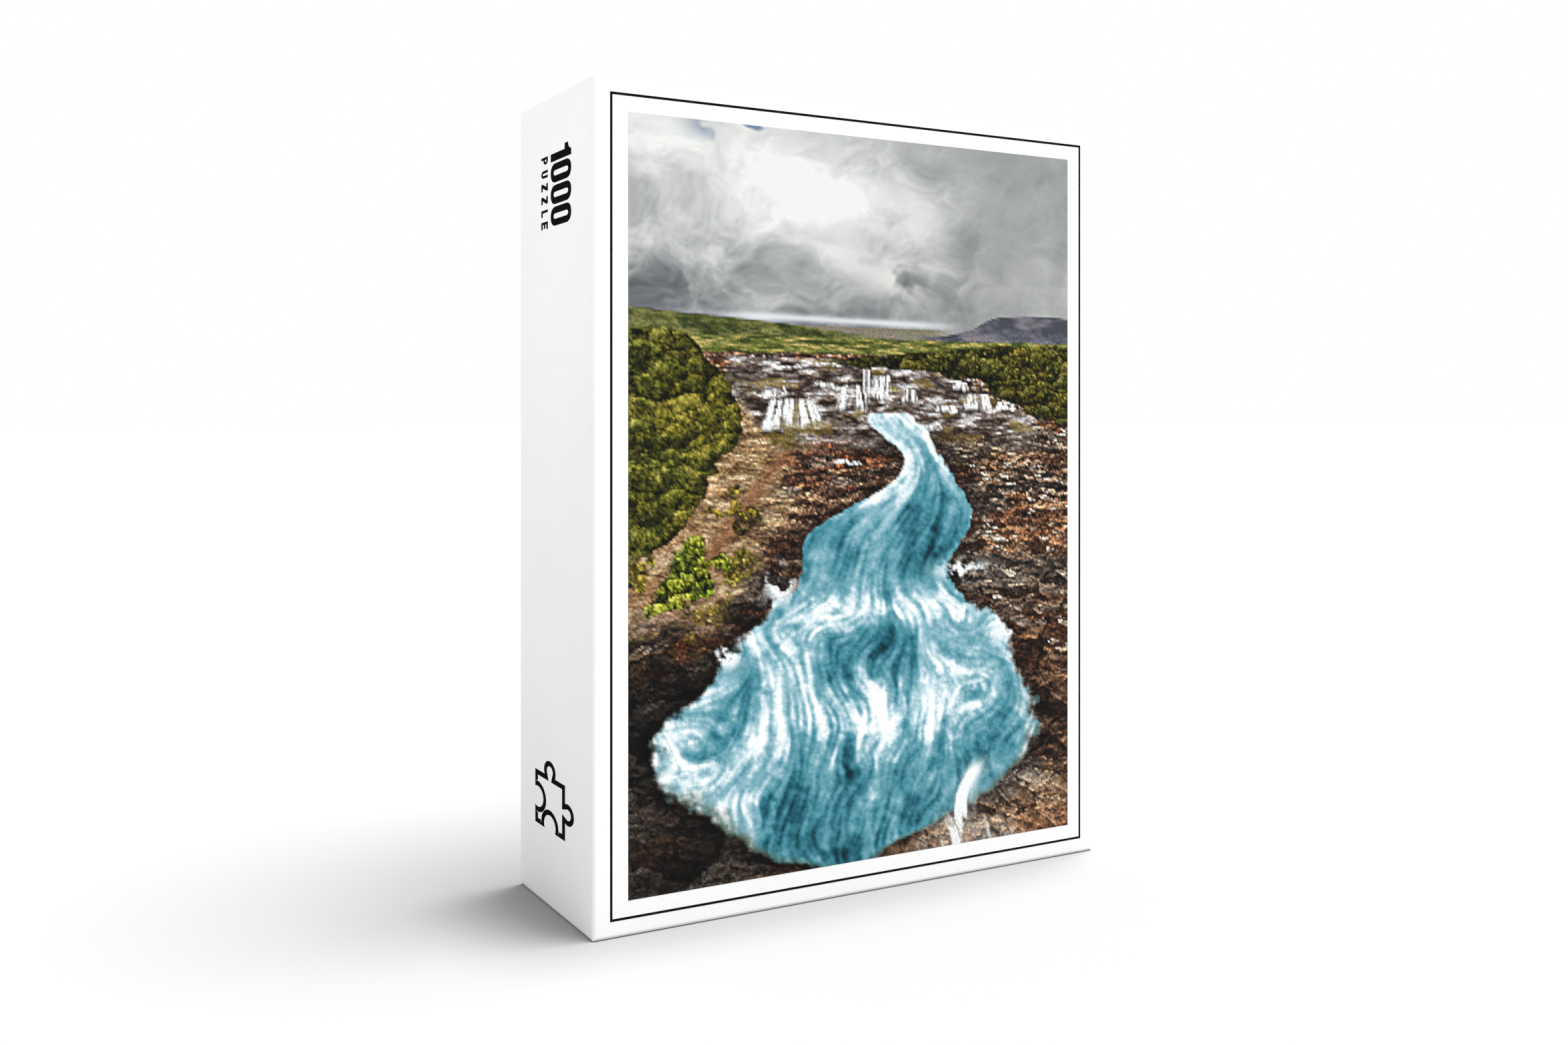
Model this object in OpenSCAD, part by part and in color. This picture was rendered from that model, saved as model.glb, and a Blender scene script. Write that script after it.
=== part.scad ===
// Boxed jigsaw puzzle: a set-up board box with a full-depth lid, and a
// sealed bag of one thousand interlocking pieces inside it.
// The box stands on one of its short sides. X is the width, Z the height,
// and Y the depth: the printed front of the lid faces -Y, and the bottom
// of the base tray faces +Y. The origin is under the middle of the box.

/* [Box] */
// Outside width of the closed box
box_w = 201; // [199:1:204]
// Outside height of the closed box, standing
box_h = 270; // [266:1:290]
// Outside depth of the closed box
box_d = 67; // [66:0.5:72]
// Radius of the wrapped outside edges
edge_r = 1.2; // [0.9:0.1:1.8]

/* [Board and paper] */
// Thickness of the greyboard blanks
board_t = 2; // [1.5:0.1:2.1]
// Thickness of the printed wrapping paper
paper_t = 0.2; // [0.15:0.05:0.25]
// Thickness of the corner stay tape
stay_t = 0.15; // [0.1:0.05:0.2]
// Length of each leg of a corner stay
stay_leg = 18; // [12:1:25]
// How far the paper turns in over the rim
turn_in = 16; // [10:1:22]
// Width of the creases that divide the wrap into its five panels
crease = 0.05; // [0.02:0.01:0.1]

/* [Fit of lid and base] */
// Gap between lid and base on the left and on the right
side_gap = 0.8; // [0.5:0.1:1]
// Gap under the base, inside the standing lid
lower_gap = 0.3; // [0.2:0.1:0.5]
// Gap over the base, inside the standing lid
upper_gap = 1.3; // [0.8:0.1:1.5]
// Gap between the rim of the base and the inside of the lid
rim_gap = 0.4; // [0.2:0.1:0.6]
// How far the bottom of the base stands proud of the lid's rim
base_proud = 0.6; // [0:0.1:1]

/* [Puzzle] */
// Width of the finished picture
picture_w = 680; // [660:5:680]
// Height of the finished picture
picture_h = 480; // [460:5:480]
// Thickness of the puzzle board
piece_t = 1.95; // [1.6:0.05:2]
// Radius of a knob
knob_r = 2.6; // [2.2:0.1:2.6]
// How far the centre of a knob lies outside its edge
knob_out = 1.7; // [1.4:0.1:1.7]
// Most that a knob is shifted along its edge
knob_shift = 1.2; // [0:0.1:1.2]
// Width of the die cut between two pieces
kerf = 0.1; // [0.05:0.05:0.2]

/* [Bag] */
// Thickness of the polythene film
film_t = 0.2; // [0.1:0.05:0.2]
// Free space between the pieces and the film, front and back
film_slack = 0.6; // [0.4:0.1:0.8]
// Height of the heat-sealed fin on top of the bag
fin_h = 8; // [5:1:10]
// Width of that fin
fin_w = 120; // [80:5:150]

/* [Leaflet] */
// Width of the folded leaflet
leaflet_w = 105; // [90:1:148]
// Height of the folded leaflet
leaflet_h = 148; // [100:1:200]
// Thickness of the leaflet's paper
leaflet_t = 0.2; // [0.15:0.05:0.3]
// Radius of the leaflet's fold
leaflet_fold = 0.5; // [0.4:0.05:0.6]

/* [Hidden] */
$fn = 48;

// Walls: the wrap, the stay and the board, and then the turned-in paper
wall_t = paper_t + stay_t + board_t;
wall_in = wall_t + paper_t;
panel_t = paper_t + board_t;

// Lid: its front face lies at y = -box_d/2
lid_d = box_d - base_proud;
lid_y = -box_d / 2;

// Base: it sits inside the lid, with its bottom at y = +box_d/2
base_w = box_w - 2 * (wall_in + side_gap);
base_h = box_h - 2 * wall_in - lower_gap - upper_gap;
base_d = box_d - panel_t - rim_gap;
base_z = wall_in + lower_gap;

// Space inside the base
tray_w = base_w - 2 * wall_in;
tray_z = base_z + wall_in;
tray_back = box_d / 2 - panel_t;
tray_front = box_d / 2 - base_d;
clear = 0.3;

// Puzzle: 40 columns of 25 rows, row 1 at the top of the picture
cols = 40;
rows = 25;
piece_w = picture_w / cols;
piece_h = picture_h / rows;
piece_reach = norm([piece_h / 2 + knob_out, knob_shift]) + knob_r;

// Loose pieces: layers of staggered slots, which keep every piece clear
heap_cols = 6;
heap_rows = 9;
heap_pitch = 2 * piece_reach + 0.55;
heap_step = heap_pitch * sqrt(3) / 2;
heap_layers = ceil(cols * rows / (heap_cols * heap_rows));
layer_pitch = piece_t + 0.95;
tilt = 0.8;
heap_w = (heap_cols + 0.5) * heap_pitch;
heap_h = (heap_rows - 1) * heap_step + 2 * piece_reach;
heap_d = heap_layers * layer_pitch;

// Bag: as wide as the tray, and as tall and as deep as the heap
bag_w = tray_w - 2 * clear;
bag_h = heap_h + 4;
bag_d = heap_d + 2 * (film_slack + film_t);
bag_z = tray_z + clear;
bag_y = tray_back - clear - bag_d;
bag_edge_r = 2.5;
bag_corner_r = 10;

// Leaflet: in front of the bag, on the lower wall
leaflet_y = tray_front + 0.6;
leaflet_z = tray_z + clear;
leaflet_x = 12;

// ---- Shared shapes ----

// Flat rectangle with round corners, on its centre
module round_rect(a, b, r) {
    square([a - 2 * r, b], center = true);
    square([a, b - 2 * r], center = true);
    for (sx = [-1, 1])
        for (sy = [-1, 1])
            translate([sx * (a / 2 - r), sy * (b / 2 - r)])
                circle(r);
}

// Prism of that outline along +Y, with a width, a height and a depth
module upright_prism(w, h, d, r) {
    rotate([-90, 0, 0])
        linear_extrude(d)
            round_rect(w, h, r);
}

// Block whose face at y = 0 and whose four long edges are rounded
module soft_block(w, h, d, r) {
    intersection() {
        upright_prism(w, h, d, r);
        translate([0, d, -h / 2])
            linear_extrude(h)
                round_rect(w, 2 * d, r);
        translate([-w / 2, d, 0])
            rotate([0, 90, 0])
                linear_extrude(w)
                    round_rect(h, 2 * d, r);
    }
}

// Greyboard blank folded into a tray: panel at y = 0, open at y = d
module board_tray(w, h, d) {
    out_w = w - 2 * (paper_t + stay_t);
    out_h = h - 2 * (paper_t + stay_t);
    difference() {
        translate([0, paper_t, 0])
            soft_block(out_w, out_h, d - 2 * paper_t,
                edge_r - paper_t - stay_t);
        translate([board_t - out_w / 2, panel_t, board_t - out_h / 2])
            cube([out_w - 2 * board_t, d, out_h - 2 * board_t]);
    }
}

// Four strips of tape, each bent around one corner of that tray
module corner_stays(w, h, d) {
    stay_d = d - edge_r - paper_t;
    translate([0, edge_r, 0])
        difference() {
            upright_prism(w - 2 * paper_t, h - 2 * paper_t, stay_d,
                edge_r - paper_t);
            translate([0, -1, 0])
                upright_prism(w - 2 * (paper_t + stay_t),
                    h - 2 * (paper_t + stay_t), stay_d + 2,
                    edge_r - paper_t - stay_t);
            translate([stay_leg - w / 2, -1, -h])
                cube([w - 2 * stay_leg, stay_d + 2, 2 * h]);
            translate([-w, -1, stay_leg - h / 2])
                cube([2 * w, stay_d + 2, h - 2 * stay_leg]);
        }
}

// Paper sheet over the outside, over the rim and a short way down inside
module paper_sheet(w, h, d) {
    difference() {
        soft_block(w, h, d, edge_r);
        translate([0, paper_t, 0])
            soft_block(w - 2 * paper_t, h - 2 * paper_t, d - 2 * paper_t,
                edge_r - paper_t);
        translate([wall_in - w / 2, d / 2, wall_in - h / 2])
            cube([w - 2 * wall_in, d, h - 2 * wall_in]);
    }
    difference() {
        translate([wall_t - w / 2, d - turn_in, wall_t - h / 2])
            cube([w - 2 * wall_t, turn_in, h - 2 * wall_t]);
        translate([wall_in - w / 2, d - turn_in - 1, wall_in - h / 2])
            cube([w - 2 * wall_in, turn_in + 2, h - 2 * wall_in]);
    }
}

// The same sheet, creased into the panel and its four side flaps
module paper_wrap(w, h, d) {
    difference() {
        paper_sheet(w, h, d);
        translate([-w, edge_r, -h])
            cube([2 * w, crease, 2 * h]);
        for (side = [-1, 1])
            translate([side * (w / 2 - wall_in - crease / 2) - crease / 2,
                edge_r, -h])
                cube([crease, d, 2 * h]);
    }
}

// Lid in its place: panel in front
module at_lid() {
    translate([0, lid_y, box_h / 2])
        children();
}

// Base in its place: panel at the back
module at_base() {
    translate([0, box_d / 2, base_z + base_h / 2])
        rotate([0, 0, 180])
            children();
}

// ---- Puzzle pieces ----

// Shift of the knob on the edge to the right of column c, in row r
function shift_right(c, r) = knob_shift * sin(73 * c + 131 * r);

// Shift of the knob on the edge under row r, in column c
function shift_below(c, r) = knob_shift * sin(97 * c + 59 * r);

// A column-wise piece has knobs left and right, a row-wise one above and below
function knobs_sideways(c, r) = (c + r) % 2 == 0;

// Knob or socket disc on one edge
module disc(x, y, r) {
    translate([x, y])
        circle(r);
}

// Outline of the piece in column c of row r, both counted from 0
module piece_outline(c, r) {
    sideways = knobs_sideways(c, r);
    reach_x = piece_w / 2 + (sideways ? knob_out : -knob_out);
    reach_y = piece_h / 2 + (sideways ? -knob_out : knob_out);
    difference() {
        union() {
            square([piece_w - kerf, piece_h - kerf], center = true);
            if (sideways && c > 0)
                disc(-reach_x, shift_right(c - 1, r), knob_r);
            if (sideways && c < cols - 1)
                disc(reach_x, shift_right(c, r), knob_r);
            if (!sideways && r > 0)
                disc(shift_below(c, r - 1), reach_y, knob_r);
            if (!sideways && r < rows - 1)
                disc(shift_below(c, r), -reach_y, knob_r);
        }
        if (!sideways && c > 0)
            disc(-reach_x, shift_right(c - 1, r), knob_r + kerf);
        if (!sideways && c < cols - 1)
            disc(reach_x, shift_right(c, r), knob_r + kerf);
        if (sideways && r > 0)
            disc(shift_below(c, r - 1), reach_y, knob_r + kerf);
        if (sideways && r < rows - 1)
            disc(shift_below(c, r), -reach_y, knob_r + kerf);
    }
}

// One piece, flat on the XZ plane and centred on the origin
module piece(c, r) {
    translate([0, piece_t / 2, 0])
        rotate([90, 0, 0])
            linear_extrude(piece_t)
                piece_outline(c, r);
}

// Slot of the heap that piece number k falls into
function heap_slot(k) = (k * 387 + 11) % (cols * rows);

// Puts a piece into its slot, turned, tilted and face up or face down
module in_heap(k) {
    slot = heap_slot(k);
    col = slot % heap_cols;
    layer = floor(slot / heap_cols) % heap_layers;
    row = floor(slot / (heap_cols * heap_layers));
    stagger = (row + layer) % 2 == 0 ? 0 : heap_pitch / 2;
    translate([
        col * heap_pitch + stagger + piece_reach - heap_w / 2 + 0.25,
        bag_y + film_t + film_slack + (layer + 0.5) * layer_pitch,
        bag_z + 2 + piece_reach + row * heap_step])
        rotate([tilt * sin(67 * k), 0, tilt * cos(113 * k)])
            rotate([0, 137.5 * k % 360, 0])
                rotate([k % 3 == 0 ? 180 : 0, 0, 0])
                    children();
}

// The forty pieces of one row of the picture, loose in the heap
module piece_row(r) {
    for (c = [0 : cols - 1])
        in_heap(r * cols + c)
            piece(c, r);
}

// ---- Sub-parts ----

module lid_board() {
    color("darkgray")
        at_lid()
            board_tray(box_w, box_h, lid_d);
}

module lid_corner_stays() {
    color("tan")
        at_lid()
            corner_stays(box_w, box_h, lid_d);
}

module lid_wrap() {
    color("white")
        at_lid()
            paper_wrap(box_w, box_h, lid_d);
}

module base_board() {
    color("gray")
        at_base()
            board_tray(base_w, base_h, base_d);
}

module base_corner_stays() {
    color("tan")
        at_base()
            corner_stays(base_w, base_h, base_d);
}

module base_wrap() {
    color("whitesmoke")
        at_base()
            paper_wrap(base_w, base_h, base_d);
}

// A sheet folded once, with its fold on the left
module leaflet() {
    color("ivory")
        translate([leaflet_x - leaflet_w / 2, leaflet_y, leaflet_z])
            linear_extrude(leaflet_h)
                difference() {
                    union() {
                        translate([leaflet_fold, 0])
                            square([leaflet_w - leaflet_fold, 2 * leaflet_fold]);
                        translate([leaflet_fold, leaflet_fold])
                            circle(leaflet_fold);
                    }
                    translate([leaflet_fold, leaflet_t])
                        square([leaflet_w, 2 * (leaflet_fold - leaflet_t)]);
                    translate([leaflet_fold, leaflet_fold])
                        circle(leaflet_fold - leaflet_t);
                }
}

// Closed film around the heap, rounded front and back
module bag_form(inset) {
    w = bag_w - 2 * inset;
    h = bag_h - 2 * inset;
    d = bag_d - 2 * inset;
    r = bag_edge_r - inset;
    translate([0, bag_y + inset, bag_z + bag_h / 2])
        intersection() {
            upright_prism(w, h, d, bag_corner_r - inset);
            translate([0, d / 2, -h / 2])
                linear_extrude(h)
                    round_rect(w, d, r);
            translate([-w / 2, d / 2, 0])
                rotate([0, 90, 0])
                    linear_extrude(w)
                        round_rect(h, d, r);
        }
}

module piece_bag() {
    color("lightcyan") {
        difference() {
            bag_form(0);
            bag_form(film_t);
        }
        translate([-fin_w / 2, bag_y + bag_d / 2 - film_t, bag_z + bag_h - film_t])
            cube([fin_w, 2 * film_t, fin_h + film_t]);
    }
}

module pieces_row_01() {
    color("lightsteelblue")
        piece_row(0);
}

module pieces_row_02() {
    color("slategray")
        piece_row(1);
}

module pieces_row_03() {
    color("silver")
        piece_row(2);
}

module pieces_row_04() {
    color("lightgray")
        piece_row(3);
}

module pieces_row_05() {
    color("gainsboro")
        piece_row(4);
}

module pieces_row_06() {
    color("gray")
        piece_row(5);
}

module pieces_row_07() {
    color("olivedrab")
        piece_row(6);
}

module pieces_row_08() {
    color("darkolivegreen")
        piece_row(7);
}

module pieces_row_09() {
    color("peru")
        piece_row(8);
}

module pieces_row_10() {
    color("sienna")
        piece_row(9);
}

module pieces_row_11() {
    color("rosybrown")
        piece_row(10);
}

module pieces_row_12() {
    color("cadetblue")
        piece_row(11);
}

module pieces_row_13() {
    color("teal")
        piece_row(12);
}

module pieces_row_14() {
    color("darkcyan")
        piece_row(13);
}

module pieces_row_15() {
    color("mediumaquamarine")
        piece_row(14);
}

module pieces_row_16() {
    color("lightseagreen")
        piece_row(15);
}

module pieces_row_17() {
    color("turquoise")
        piece_row(16);
}

module pieces_row_18() {
    color("paleturquoise")
        piece_row(17);
}

module pieces_row_19() {
    color("aquamarine")
        piece_row(18);
}

module pieces_row_20() {
    color("powderblue")
        piece_row(19);
}

module pieces_row_21() {
    color("skyblue")
        piece_row(20);
}

module pieces_row_22() {
    color("steelblue")
        piece_row(21);
}

module pieces_row_23() {
    color("saddlebrown")
        piece_row(22);
}

module pieces_row_24() {
    color("tan")
        piece_row(23);
}

module pieces_row_25() {
    color("dimgray")
        piece_row(24);
}

// ---- Assembly ----

lid_board();
lid_corner_stays();
lid_wrap();
base_board();
base_corner_stays();
base_wrap();
leaflet();
piece_bag();
pieces_row_01();
pieces_row_02();
pieces_row_03();
pieces_row_04();
pieces_row_05();
pieces_row_06();
pieces_row_07();
pieces_row_08();
pieces_row_09();
pieces_row_10();
pieces_row_11();
pieces_row_12();
pieces_row_13();
pieces_row_14();
pieces_row_15();
pieces_row_16();
pieces_row_17();
pieces_row_18();
pieces_row_19();
pieces_row_20();
pieces_row_21();
pieces_row_22();
pieces_row_23();
pieces_row_24();
pieces_row_25();
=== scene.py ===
"""Looks of the boxed jigsaw puzzle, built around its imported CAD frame."""

import math

import bmesh
import bpy
import numpy as np
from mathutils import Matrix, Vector


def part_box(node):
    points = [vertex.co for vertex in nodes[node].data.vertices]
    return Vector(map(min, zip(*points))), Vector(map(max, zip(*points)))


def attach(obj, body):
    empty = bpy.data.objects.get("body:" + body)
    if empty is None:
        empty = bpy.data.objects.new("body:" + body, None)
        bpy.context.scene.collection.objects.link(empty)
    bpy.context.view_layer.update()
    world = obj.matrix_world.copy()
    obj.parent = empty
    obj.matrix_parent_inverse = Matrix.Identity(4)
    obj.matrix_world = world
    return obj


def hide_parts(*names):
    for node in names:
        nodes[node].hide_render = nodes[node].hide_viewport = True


MM = 0.001

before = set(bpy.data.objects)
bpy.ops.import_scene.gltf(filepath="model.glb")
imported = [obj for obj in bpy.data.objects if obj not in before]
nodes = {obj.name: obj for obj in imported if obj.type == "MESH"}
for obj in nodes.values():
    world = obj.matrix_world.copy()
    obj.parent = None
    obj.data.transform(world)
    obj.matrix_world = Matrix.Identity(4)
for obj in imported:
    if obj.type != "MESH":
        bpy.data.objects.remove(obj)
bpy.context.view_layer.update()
lid_low, lid_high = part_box("lid_wrap")
lid_w = (lid_high.x - lid_low.x) / MM
lid_h = (lid_high.z - lid_low.z) / MM

# Print on the lid, in millimetres. The line's margins are to its middle.
PICTURE_MARGIN_X = 12.0
PICTURE_MARGIN_Z = 11.2
LINE_MARGIN_X = 6.3
LINE_MARGIN_Z = 5.8
LINE_WIDTH = 0.80
INK_LIFT = 0.01
INK_T = 0.02

# Bag, in millimetres: the seal along its top, the film, its rounded edges and its grid
FIN_H = 8.0
FIN_W = 120.0
FIN_STEPS = 90
FILM_T = 0.12
BAG_EDGE_R = 2.5
BAG_GRID = 2.2

# ---------------------------------------------------------------- camera, light

CAMERA_YAW = math.radians(29.26)
CAMERA_PLACE = Vector((-0.2728, -0.4625, 0.1629))
CAMERA_LENS = 33.98
CAMERA_SHIFT_Y = -0.0671


def new_object(name, data):
    """An object in the scene, around its mesh, lamp or camera."""
    piece = bpy.data.objects.new(name, data)
    bpy.context.scene.collection.objects.link(piece)
    return piece


def add_camera():
    data = bpy.data.cameras.new("camera")
    data.lens = CAMERA_LENS
    data.sensor_width = 36.0
    data.shift_y = CAMERA_SHIFT_Y
    data.clip_start = 0.01
    camera = new_object("camera", data)
    camera.location = CAMERA_PLACE
    camera.rotation_euler = (math.radians(90), 0, -CAMERA_YAW)
    bpy.context.scene.camera = camera


# Soft light: an even white room, a broad lamp high on the right, and a small one overhead.
# A lamp's azimuth says where its light goes: 90 degrees is to the left, less is to the back.
ROOM_LIGHT = 1.0
LAMPS = {
    "key": {"light": 6.8, "elevation": 72, "azimuth": 62, "spread": 34},
    "overhead": {"light": 2.4, "elevation": 84, "azimuth": 112, "spread": 8},
}
SOFTBOX_SIDE = 0.20
SOFTBOX_WATTS = 0.04
SOFTBOX_SPREAD = 64
SOFTBOX_PLACE = Vector((-0.38, -0.02, 0.36))
SOFTBOX_AIM = Vector((-0.10, 0.0, 0.24))
FLOOR_SIDE = 60.0
FLOOR_TONE = 0.27


def add_lamp(name, light, elevation, azimuth, spread):
    data = bpy.data.lights.new(name, "SUN")
    data.energy = light
    data.angle = math.radians(spread)
    lamp = new_object(name, data)
    lamp.rotation_euler = (math.radians(90 - elevation), 0, math.radians(azimuth))


def add_softbox():
    """A small soft lamp that lifts the upper part of the left side."""
    data = bpy.data.lights.new("softbox", "AREA")
    data.energy = SOFTBOX_WATTS
    data.size = SOFTBOX_SIDE
    data.spread = math.radians(SOFTBOX_SPREAD)
    lamp = new_object("softbox", data)
    lamp.location = SOFTBOX_PLACE
    lamp.rotation_euler = (SOFTBOX_AIM - SOFTBOX_PLACE).to_track_quat("-Z", "Y").to_euler()
    lamp.visible_camera = False


def add_stage():
    world = bpy.data.worlds.new("room")
    bpy.context.scene.world = world
    world.use_nodes = True
    room = world.node_tree.nodes["Background"]
    room.inputs["Color"].default_value = (1, 1, 1, 1)
    room.inputs["Strength"].default_value = ROOM_LIGHT
    for name, lamp in LAMPS.items():
        add_lamp(name, **lamp)
    add_softbox()
    bpy.context.scene.view_settings.view_transform = "Standard"
    mesh = bpy.data.meshes.new("floor")
    half = FLOOR_SIDE / 2
    corners = [(-half, -half, 0), (half, -half, 0), (half, half, 0), (-half, half, 0)]
    mesh.from_pydata(corners, [], [(0, 1, 2, 3)])
    floor = new_object("floor", mesh)
    matt = bpy.data.materials.new("floor_white")
    matt.use_nodes = True
    shader = matt.node_tree.nodes["Principled BSDF"]
    shader.inputs["Base Color"].default_value = (FLOOR_TONE, FLOOR_TONE, FLOOR_TONE, 1)
    shader.inputs["Roughness"].default_value = 1.0
    shader.inputs["Specular IOR Level"].default_value = 0.0
    mesh.materials.append(matt)


# ---------------------------------------------------------------- material kit


class Shader:
    """A material under construction, with short ways to add and join its nodes."""

    def __init__(self, name):
        self.material = bpy.data.materials.new(name)
        self.material.use_nodes = True
        self.tree = self.material.node_tree
        self.body = self.tree.nodes["Principled BSDF"]
        self.places = self.tree.nodes.new("ShaderNodeTexCoord")
        self.coords = self.places.outputs["Object"]

    def coords_of(self, name):
        return self.places.outputs[name]

    def put(self, socket, value):
        if isinstance(value, bpy.types.NodeSocket):
            self.tree.links.new(value, socket)
        else:
            socket.default_value = value

    def set(self, **values):
        for name, value in values.items():
            self.put(self.body.inputs[name.replace("_", " ")], value)
        return self

    def noise(self, scale, detail=4.0, rough=0.5, stretch=(1, 1, 1), distort=0.0):
        """Noise with features of about 1 / scale metres."""
        mapping = self.tree.nodes.new("ShaderNodeMapping")
        mapping.inputs["Scale"].default_value = stretch
        self.tree.links.new(self.coords, mapping.inputs["Vector"])
        node = self.tree.nodes.new("ShaderNodeTexNoise")
        self.tree.links.new(mapping.outputs["Vector"], node.inputs["Vector"])
        for name, number in (("Scale", scale), ("Detail", detail), ("Roughness", rough),
                             ("Distortion", distort)):
            node.inputs[name].default_value = number
        return node.outputs["Fac"]

    def ramp(self, value, stops):
        """Colours along a value, as (position, colour) pairs."""
        node = self.tree.nodes.new("ShaderNodeValToRGB")
        points = node.color_ramp.elements
        while len(points) < len(stops):
            points.new(0.5)
        for point, (place, colour) in zip(points, stops):
            point.position = place
            point.color = (*colour, 1)
        self.tree.links.new(value, node.inputs["Fac"])
        return node.outputs["Color"]

    def fit(self, value, low, high, to_low=0.0, to_high=1.0):
        node = self.tree.nodes.new("ShaderNodeMapRange")
        self.put(node.inputs["Value"], value)
        for name, number in (("From Min", low), ("From Max", high),
                             ("To Min", to_low), ("To Max", to_high)):
            node.inputs[name].default_value = number
        return node.outputs["Result"]

    def maths(self, operation, a, b=0.0):
        node = self.tree.nodes.new("ShaderNodeMath")
        node.operation = operation
        self.put(node.inputs[0], a)
        self.put(node.inputs[1], b)
        return node.outputs["Value"]

    def mix(self, share, a, b, how="MIX"):
        node = self.tree.nodes.new("ShaderNodeMix")
        node.data_type = "RGBA"
        node.blend_type = how
        self.put(node.inputs["Factor"], share)
        for socket, value in ((node.inputs[6], a), (node.inputs[7], b)):
            self.put(socket, value if isinstance(value, bpy.types.NodeSocket) else (*value, 1))
        return node.outputs[2]

    def bump(self, height, strength, distance):
        node = self.tree.nodes.new("ShaderNodeBump")
        node.inputs["Strength"].default_value = strength
        node.inputs["Distance"].default_value = distance
        self.tree.links.new(height, node.inputs["Height"])
        self.tree.links.new(node.outputs["Normal"], self.body.inputs["Normal"])
        return self


def paper(name, white, warm, gloss=0.5):
    """Wrapping paper over greyboard: faint fibre and the waviness of the board."""
    s = Shader(name)
    fibre = s.noise(900, 5, 0.65)
    cloud = s.noise(35, 3, 0.5)
    tone = s.maths("ADD", s.maths("MULTIPLY", fibre, 0.45), s.maths("MULTIPLY", cloud, 0.55))
    s.set(Base_Color=s.ramp(tone, [(0.3, warm), (0.62, white)]))
    s.set(Roughness=s.fit(fibre, 0.3, 0.7, gloss - 0.05, gloss + 0.07), Specular_IOR_Level=0.3)
    height = s.maths("ADD", s.maths("MULTIPLY", s.noise(120, 3, 0.5), 0.7),
                     s.maths("MULTIPLY", fibre, 0.3))
    s.bump(height, 0.12, 0.0002)
    return s.material


def greyboard():
    """Uncoated recycled board with light and dark fibres."""
    s = Shader("greyboard")
    fibre = s.noise(420, 7, 0.75, (1, 1, 1), 0.6)
    fleck = s.noise(1500, 3, 0.6)
    base = s.ramp(fibre, [(0.32, (0.20, 0.185, 0.165)), (0.5, (0.33, 0.31, 0.28)),
                          (0.68, (0.45, 0.43, 0.39))])
    dark = s.ramp(fleck, [(0.30, (0.45, 0.43, 0.40)), (0.38, (1, 1, 1))])
    s.set(Base_Color=s.mix(1.0, base, dark, "MULTIPLY"),
          Roughness=s.fit(fibre, 0.3, 0.7, 0.85, 0.98))
    s.bump(s.maths("ADD", fibre, s.maths("MULTIPLY", fleck, 0.5)), 0.5, 0.0003)
    return s.material


def kraft_tape():
    s = Shader("kraft_tape")
    fibre = s.noise(500, 6, 0.7, (1, 4, 1))
    s.set(Base_Color=s.ramp(fibre, [(0.3, (0.34, 0.22, 0.12)), (0.7, (0.56, 0.41, 0.25))]),
          Roughness=s.fit(fibre, 0.3, 0.7, 0.7, 0.85))
    s.bump(fibre, 0.3, 0.0002)
    return s.material


def ink(name, colour, light):
    """Offset black: dense, with a faint mottle."""
    s = Shader(name)
    mottle = s.noise(700, 4, 0.6)
    s.set(Base_Color=s.ramp(mottle, [(0.35, colour), (0.75, light)]),
          Roughness=s.fit(mottle, 0.3, 0.7, 0.55, 0.65), Specular_IOR_Level=0.0)
    return s.material


def printed_picture():
    """The painted colours, with fine detail over them as deep as their alpha says."""
    s = Shader("printed_picture")
    paint = s.tree.nodes.new("ShaderNodeAttribute")
    paint.attribute_name = "paint"
    grain = s.noise(1250, 3, 0.75)
    speck = s.ramp(grain, [(0.30, (0.38, 0.38, 0.38)), (0.5, (0.95, 0.95, 0.95)),
                           (0.72, (1.9, 1.9, 1.9))])
    s.set(Base_Color=s.mix(paint.outputs["Alpha"], paint.outputs["Color"],
                           s.mix(1.0, paint.outputs["Color"], speck, "MULTIPLY")))
    s.set(Roughness=s.fit(grain, 0.3, 0.7, 0.50, 0.60), Specular_IOR_Level=0.10)
    s.bump(s.noise(120, 3, 0.5), 0.08, 0.0002)
    return s.material


def film():
    """Clear polythene: mostly see-through, whiter along its creases."""
    s = Shader("bag_polythene")
    crease = s.noise(60, 6, 0.65, (1, 1, 0.5), 1.2)
    haze = s.noise(25, 3, 0.5)
    s.set(Base_Color=s.ramp(haze, [(0.3, (0.50, 0.53, 0.55)), (0.7, (0.64, 0.67, 0.69))]))
    s.set(Alpha=s.fit(crease, 0.42, 0.68, 0.03, 0.18), Roughness=s.fit(haze, 0.3, 0.7, 0.10, 0.22),
          Specular_IOR_Level=0.6)
    s.bump(s.noise(180, 5, 0.6, (1, 1, 0.6), 1.0), 0.5, 0.0006)
    return s.material


# Colours of the picture from its top to its foot, in a column by the bank and in one by the river
BANK_COLOURS = ((0.45, 0.46, 0.46), (0.60, 0.61, 0.60), (0.22, 0.23, 0.25), (0.16, 0.19, 0.05),
                (0.10, 0.12, 0.03), (0.26, 0.17, 0.10), (0.12, 0.07, 0.045), (0.33, 0.25, 0.17),
                (0.08, 0.05, 0.035))
RIVER_COLOURS = ((0.62, 0.63, 0.62), (0.38, 0.39, 0.40), (0.70, 0.71, 0.70), (0.20, 0.22, 0.07),
                 (0.14, 0.36, 0.44), (0.05, 0.22, 0.29), (0.55, 0.74, 0.79), (0.10, 0.33, 0.41),
                 (0.72, 0.83, 0.86))


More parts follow.
